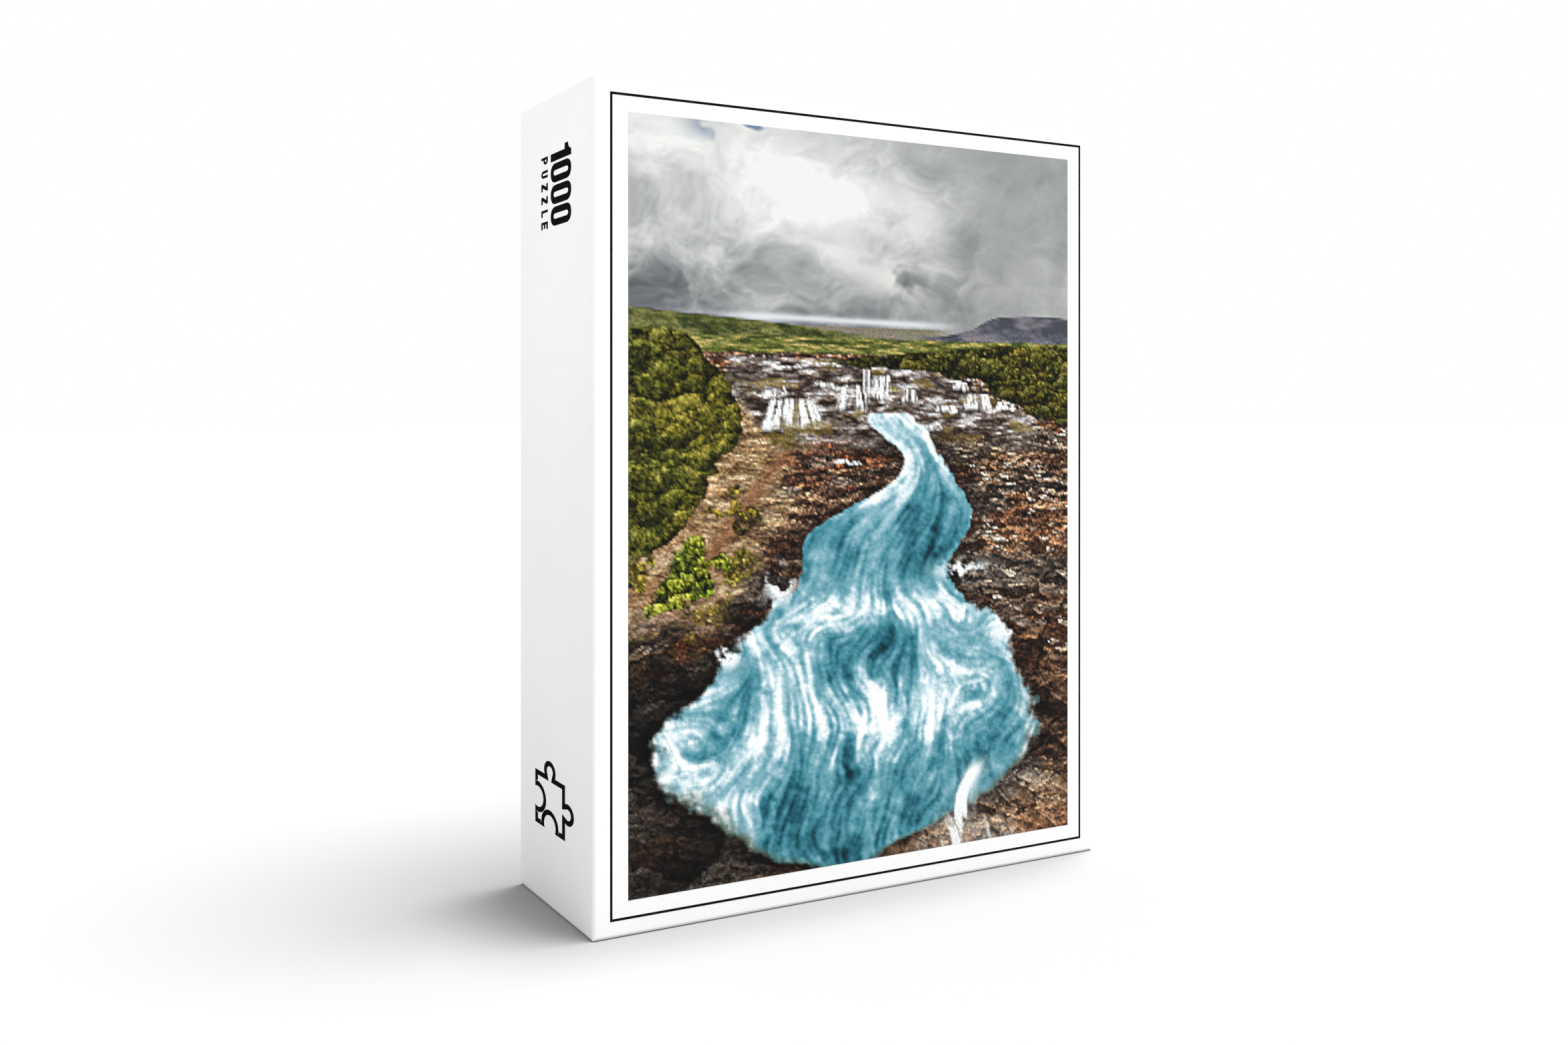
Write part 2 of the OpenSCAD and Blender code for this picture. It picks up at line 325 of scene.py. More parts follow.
def puzzle_board(row, rows):
    """Printed face, grey-blue back and grey cut edges, by which way a face of a piece points."""
    s = Shader("puzzle_print_%02d" % row)
    geometry = s.tree.nodes.new("ShaderNodeNewGeometry")
    island = geometry.outputs["Random Per Island"]
    split = s.tree.nodes.new("ShaderNodeSeparateXYZ")
    s.tree.links.new(s.coords_of("Normal"), split.inputs["Vector"])
    facing = split.outputs["Y"]
    river = math.exp(-((row - rows / 2) / (rows * 0.26)) ** 2)
    blur = s.maths("ADD", island, s.fit(s.noise(90, 5, 0.65), 0.3, 0.7, -0.07, 0.07))
    count = len(BANK_COLOURS)
    stops = []
    for k, (bank, water) in enumerate(zip(BANK_COLOURS, RIVER_COLOURS)):
        stops.append((0.02 + 0.96 * k / (count - 1),
                      tuple(p + (q - p) * river for p, q in zip(bank, water))))
    grain = s.noise(900, 4, 0.7)
    speck = s.ramp(grain, [(0.3, (0.42, 0.42, 0.42)), (0.7, (0.80, 0.80, 0.80))])
    printed = s.mix(1.0, s.ramp(blur, stops), speck, "MULTIPLY")
    fibre = s.noise(1200, 4, 0.7)
    back = s.ramp(fibre, [(0.3, (0.12, 0.145, 0.17)), (0.7, (0.19, 0.22, 0.25))])
    cut = s.ramp(fibre, [(0.3, (0.085, 0.078, 0.066)), (0.7, (0.16, 0.145, 0.125))])
    face_up = s.maths("GREATER_THAN", facing, 0.0)
    turned = s.maths("GREATER_THAN", s.maths("FRACT", s.maths("MULTIPLY", island, 7.31)), 0.5)
    is_back = s.maths("ABSOLUTE", s.maths("SUBTRACT", face_up, turned))
    is_cut = s.maths("LESS_THAN", s.maths("ABSOLUTE", facing), 0.6)
    s.set(Base_Color=s.mix(is_cut, s.mix(is_back, printed, back), cut))
    s.set(Roughness=s.fit(fibre, 0.3, 0.7, 0.45, 0.62), Specular_IOR_Level=0.35)
    s.bump(s.maths("ADD", s.noise(700, 3, 0.6), s.maths("MULTIPLY", fibre, 0.5)), 0.35, 0.0002)
    return s.material


# ---------------------------------------------------------------- mesh kit


def add_mesh(name, verts, faces, material, body, smooth=False):
    mesh = bpy.data.meshes.new(name)
    mesh.from_pydata(verts, [], faces)
    mesh.validate()
    mesh.materials.append(material)
    piece = new_object(name, mesh)
    for face in mesh.polygons:
        face.use_smooth = smooth
    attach(piece, body)
    return piece


def front_place(x, z, lift=0.0):
    """A point on the lid's front, from its left and its top, in millimetres."""
    return (lid_low.x + x * MM, lid_low.y - lift * MM, lid_high.z - z * MM)


def side_place(side):
    """Gives the points on a side of the lid, from its viewer's left and its top, in millimetres."""

    def place(along, down, lift=0.0):
        if side == "left":
            return (lid_low.x - lift * MM, lid_high.y - along * MM, lid_high.z - down * MM)
        return (lid_high.x + lift * MM, lid_low.y + along * MM, lid_high.z - down * MM)

    return place


def add_ink(name, outlines, place, material):
    """Flat printed shapes as thin closed slabs. An outline is (points, hole points or None)."""
    bm = bmesh.new()
    for points, hole in outlines:
        loops = [points] + ([hole] if hole else [])
        edges = []
        for loop in loops:
            verts = [bm.verts.new(place(a, b, INK_LIFT + INK_T)) for a, b in loop]
            edges += [bm.edges.new((verts[i], verts[(i + 1) % len(verts)]))
                      for i in range(len(verts))]
        bmesh.ops.triangle_fill(bm, use_beauty=True, edges=edges)
    faces = bm.faces[:]
    made = bmesh.ops.extrude_face_region(bm, geom=faces)
    inward = Vector(place(0, 0, INK_LIFT)) - Vector(place(0, 0, INK_LIFT + INK_T))
    bmesh.ops.translate(bm, vec=inward,
                        verts=[g for g in made["geom"] if isinstance(g, bmesh.types.BMVert)])
    bmesh.ops.recalc_face_normals(bm, faces=bm.faces[:])
    mesh = bpy.data.meshes.new(name)
    bm.to_mesh(mesh)
    bm.free()
    mesh.materials.append(material)
    piece = new_object(name, mesh)
    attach(piece, "lid")
    return piece


def line_loop(inwards):
    """The middle of the frame line on the front, moved inwards."""
    x0, z0 = LINE_MARGIN_X + inwards, LINE_MARGIN_Z + inwards
    x1, z1 = lid_w - x0, lid_h - z0
    return [(x0, z0), (x1, z0), (x1, z1), (x0, z1)]


def slot_shape(ca, cd, ra, rd, end, power, count=16):
    """A long rounded shape along the first axis, with superelliptic ends."""
    points = []
    for way in (1, -1):
        for k in range(count + 1):
            a = math.pi * k / count - math.pi / 2
            c, s = math.cos(a) * way, math.sin(a) * way
            points.append((ca + way * (ra - end) + end * math.copysign(abs(c) ** (2 / power), c),
                           cd + rd * math.copysign(abs(s) ** (2 / power), s)))
    return points


def arc(ca, cd, ra, rd, start, stop, count=8):
    """Points along part of an ellipse, angles in degrees."""
    return [(ca + ra * math.cos(math.radians(start + (stop - start) * k / count)),
             cd + rd * math.sin(math.radians(start + (stop - start) * k / count)))
            for k in range(count + 1)]


# Number on the sides: read downwards, with its top to the viewer's right
DIGIT_FOOT = 29.7
DIGIT_TOP = 48.4
DIGIT_DOWN = 18.2
ZERO_DOWN = 23.5
ZERO_W = 6.3
ZERO_PITCH = 7.12
ZERO_END = 4.6
ZERO_SQUARE = 2.3
COUNTER_INSET = 2.75
COUNTER_HALF = 0.88
COUNTER_END = 1.6
COUNTER_SQUARE = 2.1
WORD = "PUZZLE"
WORD_FOOT = 20.7
LETTER_DOWN = (20.1, 24.55, 28.95, 33.3, 37.8, 41.75)
LETTER_W = 2.5
BOWL_R = 1.2
CUP_H = 2.0
WORD_CAP = 6.3
WORD_THICK_ALONG = 1.45
WORD_THICK_DOWN = 0.88


def number_outlines():
    """A condensed bold one and three zeros."""
    stem_down, stem_end, flag_low, flag_high = 20.1, 22.7, 42.5, 45.6
    one = [(DIGIT_FOOT, stem_down), (flag_low, stem_down), (flag_low, DIGIT_DOWN),
           (flag_high, DIGIT_DOWN)]
    hook = stem_down + 0.5 - DIGIT_DOWN
    one += arc(DIGIT_TOP, DIGIT_DOWN, DIGIT_TOP - flag_high, hook, 180, 90, 6)[1:]
    one += [(DIGIT_TOP, stem_end), (DIGIT_FOOT, stem_end)]
    shapes = [(one, None)]
    middle, half = (DIGIT_FOOT + DIGIT_TOP) / 2, (DIGIT_TOP - DIGIT_FOOT) / 2
    for k in range(3):
        down = ZERO_DOWN + ZERO_W / 2 + k * ZERO_PITCH
        ring = slot_shape(middle, down, half, ZERO_W / 2, ZERO_END, ZERO_SQUARE)
        counter = slot_shape(middle, down, half - COUNTER_INSET, COUNTER_HALF,
                             COUNTER_END, COUNTER_SQUARE)
        shapes.append((ring, counter))
    return shapes


def word_outlines():
    """Thin wide-spaced capitals. Letters are drawn as (across, up) and then turned."""
    t, s, h, w = WORD_THICK_ALONG, WORD_THICK_DOWN, WORD_CAP, LETTER_W
    bar = (h - t) / 2
    bowl = h * 0.56
    r_out, r_in = (h - bowl + t) / 2, (h - bowl - t) / 2
    bowl_mid = (h + bowl - t) / 2
    p_outside = ([(0, 0), (s, 0), (s, bowl - t)]
                 + arc(w - BOWL_R, bowl_mid, BOWL_R, r_out, -90, 90) + [(0, h)])
    p_inside = [(s, bowl)] + arc(w - BOWL_R, bowl_mid, BOWL_R - s, r_in, -90, 90) + [(s, h - t)]
    u_outside = [(0, h)] + arc(w / 2, CUP_H, w / 2, CUP_H, 180, 360) + [(w, h), (w - s, h)]
    u_inside = arc(w / 2, CUP_H, w / 2 - s, CUP_H - t, 360, 180) + [(s, h)]
    z_foot = [(0, 0), (w, 0), (w, t), (s * 1.5, t), (w, h - t)]
    z_top = [(w, h), (0, h), (0, h - t), (w - s * 1.5, h - t), (0, t)]
    e_foot = [(0, 0), (w, 0), (w, t), (s, t), (s, bar), (w * 0.88, bar), (w * 0.88, bar + t)]
    e_top = [(s, bar + t), (s, h - t), (w, h - t), (w, h), (0, h)]
    letters = {
        "P": (p_outside, p_inside),
        "U": (u_outside + u_inside, None),
        "Z": (z_foot + z_top, None),
        "L": ([(0, 0), (w * 0.9, 0), (w * 0.9, t), (s, t), (s, h), (0, h)], None),
        "E": (e_foot + e_top, None),
    }
    shapes = []
    for letter, start in zip(WORD, LETTER_DOWN):
        turned = [loop and [(WORD_FOOT + up, start + across) for across, up in loop]
                  for loop in letters[letter]]
        shapes.append(tuple(turned))
    return shapes


# How deep a knob's circle sits in its edge, as a share of its radius
KNOB_SINK = 0.45


def jigsaw_outline(half, knob, sign_of_sides):
    """A square piece: each side has a round knob that points out (1) or in (-1)."""
    points = []
    sink = KNOB_SINK * knob
    mouth = math.degrees(math.asin(sink / knob))
    for k, sign in enumerate(sign_of_sides):
        side = [(-half, half)]
        for at, out in arc(0, sink, knob, knob, 180 + mouth, -mouth, 16):
            side.append((at, half + sign * out))
        turn = math.radians(-90 * k)
        points += [(x * math.cos(turn) - y * math.sin(turn),
                    x * math.sin(turn) + y * math.cos(turn)) for x, y in side]
    return points


def inset(points, distance):
    """The same closed outline moved inwards by a distance."""
    count = len(points)
    area = sum(points[i - 1][0] * points[i][1] - points[i][0] * points[i - 1][1]
               for i in range(count))
    way = math.copysign(1, area)
    moved = []
    for i in range(count):
        (ax, ay), (bx, by), (cx, cy) = points[i - 1], points[i], points[(i + 1) % count]
        n1 = Vector((ay - by, bx - ax)).normalized() * way
        n2 = Vector((by - cy, cx - bx)).normalized() * way
        middle = (n1 + n2).normalized()
        reach = distance / max(middle.dot(n1), 0.5)
        moved.append((bx + middle.x * reach, by + middle.y * reach))
    return moved


# Mark low on the sides: a jigsaw piece in outline, as wide as the print is stretched
MARK_ALONG = 33.2
MARK_DOWN = 232.6
MARK_HALF = 9.0
MARK_KNOB = 3.5
MARK_LINE = 1.7
MARK_STRETCH = 1.56
MARK_BALANCE = 0.8


def mark_outlines():
    outer = jigsaw_outline(MARK_HALF, MARK_KNOB, (1, 1, -1, -1))
    inner = inset(outer, MARK_LINE)
    middle = MARK_KNOB * MARK_BALANCE

    def placed(loop):
        return [(MARK_ALONG + MARK_STRETCH * (x - middle), MARK_DOWN - y + middle) for x, y in loop]

    return [(placed(outer), placed(inner))]


def to_linear(colour):
    return np.where(colour <= 0.04045, colour / 12.92, ((colour + 0.055) / 1.055) ** 2.4)


PICTURE_COLS = 260
PICTURE_ROWS = 364
PRINT_DEPTH = 0.84


def add_picture(material):
    """The printed picture: a thin closed slab with a fine grid of painted points on its face."""
    wide, high = lid_w - 2 * PICTURE_MARGIN_X, lid_h - 2 * PICTURE_MARGIN_Z
    share = 1
    cols, rows = PICTURE_COLS // share, PICTURE_ROWS // share
    verts = [front_place(PICTURE_MARGIN_X + wide * c / (cols - 1),
                         PICTURE_MARGIN_Z + high * r / (rows - 1), INK_LIFT + INK_T)
             for r in range(rows) for c in range(cols)]
    faces = [(r * cols + c, (r + 1) * cols + c, (r + 1) * cols + c + 1, r * cols + c + 1)
             for r in range(rows - 1) for c in range(cols - 1)]
    ring = [c for c in range(cols)] + [r * cols + cols - 1 for r in range(1, rows)]
    ring += ([(rows - 1) * cols + c for c in range(cols - 2, -1, -1)]
             + [r * cols for r in range(rows - 2, 0, -1)])
    below = {}
    for index in ring:
        x, y, z = verts[index]
        below[index] = len(verts)
        verts.append((x, y + INK_T * MM, z))
    for k, index in enumerate(ring):
        after = ring[(k + 1) % len(ring)]
        faces.append((index, after, below[after], below[index]))
    left = [below[r * cols] for r in range(rows)]
    right = [below[r * cols + cols - 1] for r in range(rows)]
    faces.append([below[c] for c in range(cols)] + [right[1], left[1]])
    faces += [(left[r], right[r], right[r + 1], left[r + 1]) for r in range(1, rows - 2)]
    faces.append([left[rows - 2], right[rows - 2]]
                 + [below[(rows - 1) * cols + c] for c in range(cols - 1, -1, -1)])
    piece = add_mesh("front_picture", verts, faces, material, "lid")
    picture, detail = landscape(cols, rows, wide / high)
    colours = np.full((len(verts), 4), 0.3)
    colours[:rows * cols, :3] = PRINT_DEPTH * to_linear(picture).reshape(-1, 3)
    colours[:rows * cols, 3] = detail.ravel()
    layer = piece.data.color_attributes.new("paint", "FLOAT_COLOR", "POINT")
    layer.data.foreach_set("color", colours.ravel())
    return piece


def add_bag(material):
    """The sealed polythene bag: a crinkled closed film with a crimped seal along its top."""
    low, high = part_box("piece_bag")
    top = high.z - FIN_H * MM
    middle = Vector(((low.x + high.x) / 2, (low.y + high.y) / 2, (low.z + top) / 2))
    half = Vector(((high.x - low.x) / 2, (high.y - low.y) / 2, (top - low.z) / 2))
    radius = BAG_EDGE_R * MM
    pitch = BAG_GRID * MM * 1
    counts = [max(2, round(2 * side / pitch)) for side in half]
    bm = bmesh.new()
    found = {}

    def point(i, j, k):
        key = (i, j, k)
        if key not in found:
            at = Vector([(2 * n / count - 1) * size for n, count, size in zip(key, counts, half)])
            core = Vector([max(-(size - radius), min(size - radius, value))
                           for value, size in zip(at, half)])
            away = at - core
            if away.length > 0:
                away = away.normalized() * radius
            found[key] = bm.verts.new(middle + core + away)
        return found[key]

    for axis in range(3):
        across, up = (axis + 1) % 3, (axis + 2) % 3
        for m in range(counts[across]):
            for n in range(counts[up]):
                for end in (0, counts[axis]):
                    quad = []
                    for dm, dn in ((0, 0), (0, 1), (1, 1), (1, 0)):
                        key = [end] * 3
                        key[across], key[up] = m + dm, n + dn
                        quad.append(point(*key))
                    bm.faces.new(quad[::-1] if end else quad)
    bm.normal_update()
    verts = list(bm.verts)
    places = np.array([v.co for v in verts]) / MM
    normals = np.array([v.normal for v in verts])
    a = places[:, 0] + 0.6 * places[:, 1]
    b = places[:, 2] + 0.5 * places[:, 1]
    bend = 9 * (clouds(a / 40, b / 40, 3, 301) - 0.5)
    creases = 1 - np.abs(2 * clouds((a + bend) / 16, (b - bend) / 34, 4, 302, 0.6) - 1)
    creases += 0.6 * (1 - np.abs(2 * clouds((a - bend) / 7, (b + bend) / 11, 3, 303, 0.6) - 1))
    pleats = np.sin(places[:, 0] * 1.9 + 2 * bend) * np.exp(-(top / MM - places[:, 2]) / 14)
    depth = np.clip(0.55 - 0.50 * (creases - 0.55) / 0.9 + 0.16 * pleats, 0.05, 0.60)
    for vert, at, normal, inward in zip(verts, places, normals, depth):
        vert.co = Vector((at - normal * inward) * MM)

    # Seal: a crimped strip that stands on the top
    steps = FIN_STEPS
    rows = (-1.0, 0.6, 2.2, 3.8, 5.4, 7.0, FIN_H - 0.1)
    strips = []
    for side in (-1, 1):
        sheet = []
        for r, up in enumerate(rows):
            line_verts = []
            for k in range(steps + 1):
                x = (k / steps - 0.5) * FIN_W
                wave = (0.05 * math.sin(up * 5.2)
                        + 0.35 * math.sin(x * 0.11 + 1.0) * max(up, 0) / FIN_H)
                y = side * FILM_T + wave
                line_verts.append(bm.verts.new(Vector((middle.x + x * MM, middle.y + y * MM,
                                                       top + up * MM))))
            sheet.append(line_verts)
        strips.append(sheet)
    for side, sheet in enumerate(strips):
        for r in range(len(rows) - 1):
            for k in range(steps):
                quad = [sheet[r][k], sheet[r][k + 1], sheet[r + 1][k + 1], sheet[r + 1][k]]
                bm.faces.new(quad if side == 0 else quad[::-1])
    front, back = strips
    rim = [(r, 0) for r in range(len(rows))] + [(len(rows) - 1, k) for k in range(1, steps + 1)]
    rim += ([(r, steps) for r in range(len(rows) - 2, -1, -1)]
            + [(0, k) for k in range(steps - 1, 0, -1)])
    for n, (r, k) in enumerate(rim):
        r2, k2 = rim[(n + 1) % len(rim)]
        bm.faces.new((front[r][k], front[r2][k2], back[r2][k2], back[r][k]))
    bmesh.ops.recalc_face_normals(bm, faces=bm.faces[:])
    mesh = bpy.data.meshes.new("bag_film")
    bm.to_mesh(mesh)
    bm.free()
    mesh.materials.append(material)
    for face in mesh.polygons:
        face.use_smooth = True
    piece = new_object("bag_film", mesh)
    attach(piece, "bag")
    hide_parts("piece_bag")
    return piece


# ---------------------------------------------------------------- painting kit


def hash01(ix, iy, seed):
    """A fixed random number for each whole point."""
    n = ((ix.astype(np.int64) * 374761393 + iy.astype(np.int64) * 668265263 + seed * 1442695041)
         & 0xFFFFFFFF)
    n = ((n ^ (n >> 13)) * 1274126177) & 0xFFFFFFFF
    n = ((n ^ (n >> 16)) * 2246822519) & 0xFFFFFFFF
    return ((n ^ (n >> 15)) & 0xFFFFFF) / float(0xFFFFFF)


def value_noise(x, y, seed):
    ix, iy = np.floor(x), np.floor(y)
    fx, fy = x - ix, y - iy
    fx = fx * fx * fx * (fx * (fx * 6 - 15) + 10)
    fy = fy * fy * fy * (fy * (fy * 6 - 15) + 10)
    a, b = hash01(ix, iy, seed), hash01(ix + 1, iy, seed)
    c, d = hash01(ix, iy + 1, seed), hash01(ix + 1, iy + 1, seed)
    return (a + (b - a) * fx) * (1 - fy) + (c + (d - c) * fx) * fy


def clouds(x, y, octaves, seed, gain=0.5):
    """Layered noise, each layer twice as fine and turned."""
    total, amp, norm = 0.0, 1.0, 0.0
    for k in range(octaves):
        total = total + amp * value_noise(x, y, seed + 17 * k)
        norm += amp
        amp *= gain
        x, y = 1.62 * x + 1.17 * y + 7.3, 1.62 * y - 1.17 * x + 3.1
    return total / norm


def stones(x, y, seed):
    """Cells: their random number, the gap to the next one, and the offset from the middle."""
    ix, iy = np.floor(x), np.floor(y)
    near, second = np.full(x.shape, 9.0), np.full(x.shape, 9.0)
    ident, ox, oy = np.zeros(x.shape), np.zeros(x.shape), np.zeros(x.shape)
    for i in (-1, 0, 1):
        for j in (-1, 0, 1):
            px = hash01(ix + i, iy + j, seed)
            cx, cy = ix + i + px, iy + j + hash01(ix + i, iy + j, seed + 5)
            gap = np.hypot(cx - x, cy - y)
            closer = gap < near
            second = np.where(closer, near, np.minimum(second, gap))
            ident = np.where(closer, hash01(ix + i, iy + j, seed + 9), ident)
            ox, oy = np.where(closer, x - cx, ox), np.where(closer, y - cy, oy)
            near = np.where(closer, gap, near)
    return ident, second - near, ox, oy


def rise(low, high, x):
    """Smooth step from 0 to 1."""
    t = np.clip((x - low) / (high - low), 0, 1)
    return t * t * (3 - 2 * t)


def bell(x, middle, width):
    return np.exp(-((x - middle) / width) ** 2)


def over(under, colour, mask):
    return under + (np.asarray(colour) - under) * np.clip(mask, 0, 1)[..., None]


def tint(t, stops):
    places = [s[0] for s in stops]
    return np.stack([np.interp(t, places, [s[1][k] for s in stops]) for k in range(3)], axis=-1)


def relief(height, right, down):
    """Light and shade on a height field, lit from the upper left, about 1 where flat."""
    slope_y, slope_x = np.gradient(height)
    return np.clip(1 - right * slope_x - down * slope_y, 0.30, 1.8)


def line(v, points):
    """A smooth curve through (place, value) points."""
    soft = 0.0
    for shift, share in ((-0.024, 0.12), (-0.012, 0.23), (0.0, 0.30), (0.012, 0.23), (0.024, 0.12)):
        soft = soft + share * np.interp(v + shift, [p[0] for p in points], [p[1] for p in points])
    return soft


# ---------------------------------------------------------------- landscape

# Places are u from the left and v from the top, both from 0 to 1; x is u on the scale of v.
# A cell is a row of the picture's grid, 1 at full size.
HORIZON = 0.262


def paint_sky(u, v, x, cell):
    """Heavy grey clouds, brighter on the left, with a pale strip over the horizon."""
    wx = x + 0.16 * (clouds(x * 5, v * 6, 4, 11) - 0.5)
    wy = v + 0.12 * (clouds(x * 5 + 9, v * 6, 4, 12) - 0.5)
    big = clouds(wx * 3.6, wy * 5.5, 4, 13, 0.5)
    puff = clouds(wx * 9 + 4, wy * 12.5, 5, 14, 0.55)
    billow = 1 - np.abs(2 * clouds(wx * 7 + 1, wy * 10 + 5, 5, 17, 0.6) - 1)
    right = rise(0.52, 0.82, u + 0.15 * (big - 0.5))
    light = (0.745 - 0.06 * rise(0.09, 0.20, v) - 0.20 * right * rise(0.27, 0.06, v)
             - 0.05 * rise(0.35, 0.1, u) * bell(v, 0.11, 0.05))
    light += (0.12 * bell(u, 0.40, 0.20) * bell(v, 0.085, 0.06)
              + 0.10 * bell(u, 0.1, 0.12) * bell(v, 0.03, 0.03))
    light += ((big - 0.5) * (0.36 - 0.20 * right)
              + (puff - 0.5) * (0.24 + 0.20 * rise(0.12, 0.20, v)) * (1 - 0.60 * right))
    light += (billow - 0.72) * (0.30 - 0.18 * right) * rise(0.0, 0.05, v)
    light += (0.24 * (relief(0.6 * puff + 0.6 * billow, 1.6 / cell, 2.4 / cell) - 1)
              * (1 - 0.75 * right))
    dark = rise(0.155, 0.215, v + 0.12 * (big - 0.5)) * rise(1.0, 0.35, u)
    light -= 0.20 * dark + 0.04 * rise(0.20, 0.25, v)
    light = np.clip(light, 0.34, 0.94)
    sky = tint(light, [(0.2, (.27, .28, .30)), (0.42, (.42, .43, .44)), (0.6, (.61, .62, .62)),
                       (0.78, (.79, .80, .79)), (1.0, (.95, .95, .94))])
    heap = rise(0.42, 0.60, puff + 0.25 * (big - 0.5)) * bell(u, 0.60, 0.12) * bell(v, 0.192, 0.026)
    sky = over(sky, (.84, .84, .83), 1.2 * heap)
    blue = (rise(0.52, 0.60, clouds(x * 11 + 2, v * 20 + 1, 4, 16)) * rise(0.035, 0.008, v)
            * rise(0.08, 0.2, u) * rise(0.62, 0.45, u))
    sky = over(sky, (.42, .49, .60), 0.85 * blue)
    rain = clouds(x * 22 + 2.5 * v, v * 1.3, 3, 18) * rise(0.60, 0.75, u) * rise(0.05, 0.16, v)
    sky = sky - 0.10 * (rain - 0.25)[..., None] * rise(0.6, 0.75, u)[..., None]
    strip = (bell(v, 0.250 + 0.012 * u, 0.0052 + 0.003 * (puff - 0.5)) * rise(0.12, 0.26, u)
             * rise(0.76, 0.60, u))
    return over(sky, (.86, .87, .88), 0.85 * strip)


def paint_rock(u, v, x, cell):
    """Brown lava ground: slabs and stones that grow towards the viewer."""
    depth = 0.15 + np.maximum(v - HORIZON, 0)
    gx, gy = (x - 0.36) / depth, -1.1 / (depth + 0.05)
    big = clouds(gx * 2.4 + 5, gy * 4, 4, 21)
    mid = clouds(gx * 9 + 2, gy * 14, 5, 22, 0.6)
    fine = clouds(gx * 38, gy * 52, 3, 23, 0.7)
    grit = clouds(x * 92, v * 108, 3, 27, 0.8)
    wx, wy = gx + 0.10 * (mid - 0.5), gy + 0.08 * (mid - 0.5)
    slab_id, slab_gap, slab_x, slab_y = stones(wx * 11, wy * 22, 31)
    stone_id, stone_gap, stone_x, stone_y = stones(wx * 24, wy * 38, 32)
    block_id, block_gap, block_x, block_y = stones(wx * 6.5 + 3, wy * 14, 33)
    tone = (0.31 + 0.26 * (big - 0.1) + 0.24 * (mid - 0.1) + 0.16 * (fine - 0.2)
            + 0.24 * (slab_id - 0.5))
    tone += 0.30 * (grit - 0.5) - 0.10 * slab_y - 0.06 * slab_x
    near = rise(0.62, 0.85, v)
    tone += near * (0.16 * (block_id - 0.45) - 0.10 * block_y - 0.06 * block_x)
    rock = tint(tone, [(0.36, (.10, .07, .055)), (0.47, (.21, .145, .11)),
                       (0.57, (.35, .255, .19)), (0.68, (.53, .41, .31)), (0.80, (.70, .58, .46))])
    rust = (rise(0.46, 0.60, clouds(gx * 3 + 8, gy * 6 + 2, 4, 24))
            * (0.35 + 0.65 * rise(0.75, 0.35, u)))
    rock = over(rock, rock * np.array([1.22, 0.82, 0.58]), 0.65 * rust)
    grey = rise(0.48, 0.60, clouds(gx * 4 + 1, gy * 7 + 9, 4, 25))
    rock = over(rock, rock.mean(axis=-1, keepdims=True) * np.array([1.06, 0.99, 0.92]), 0.7 * grey)
    scatter = (rise(0.38, 0.52, clouds(gx * 5 + 4, gy * 9 + 2, 4, 26))
               * (0.20 + 0.80 * rise(0.60, 0.80, u)) * rise(0.80, 0.70, v))
    loose = rise(0.62, 0.66, stone_id) * scatter * rise(0.03, 0.12, stone_gap)
    pale = tint(np.mod(stone_id * 17.3, 1.0),
                [(0.0, (.40, .32, .25)), (0.5, (.56, .48, .40)), (1.0, (.76, .70, .62))])
    lit = 1.0 - 0.55 * stone_y - 0.35 * stone_x
    rock = over(rock, pale * lit[..., None], 0.85 * loose)
    height = (0.9 * mid + 0.35 * fine + 0.12 * grit + 0.30 * rise(0.0, 0.25, slab_gap)
              + 0.30 * rise(0.0, 0.25, stone_gap))
    rock = rock * relief(height, 0.8 / cell, 1.7 / cell)[..., None]
    crack = (0.45 * rise(0.07, 0.0, slab_gap) + 0.30 * rise(0.10, 0.0, stone_gap)
             + 0.35 * near * rise(0.06, 0.0, block_gap))
    damp = 0.48 * rise(0.5, 0.1, u) * rise(0.60, 0.75, v) + 0.14 * rise(0.55, 0.65, v)
    return rock * ((1 - crack) * (1 - damp))[..., None], mid, fine


def paint_leaves(v, x, size, seed):
    """Rounded clumps of leaves, lit from above with dark gaps between."""
    wx = x + 0.20 / size * (clouds(x * size, v * size, 3, seed + 2) - 0.5)
    _, gap, ox, oy = stones(wx * size, v * size * 1.25, seed)
    _, gap_2, ox_2, oy_2 = stones(wx * size * 2.7, v * size * 3.2, seed + 40)
    leaf = clouds(x * size * 9, v * size * 9, 3, seed + 6, 0.75)
    hue = clouds(x * size * 0.8, v * size * 0.8, 3, seed + 8)
    light = (0.43 - 0.34 * oy - 0.12 * ox - 0.22 * oy_2 - 0.08 * ox_2 + 0.80 * (leaf - 0.5)
             + 0.20 * (hue - 0.5))
    light -= 0.14 * rise(0.16, 0.0, gap) + 0.12 * rise(0.14, 0.0, gap_2)
    green = tint(light, [(0.05, (.05, .055, .02)), (0.22, (.13, .14, .045)),
                         (0.40, (.26, .27, .08)), (0.58, (.43, .43, .15)), (0.80, (.66, .64, .32))])
    return over(green, green * np.array([1.12, 1.0, 0.80]), rise(0.45, 0.60, hue) * 0.6)


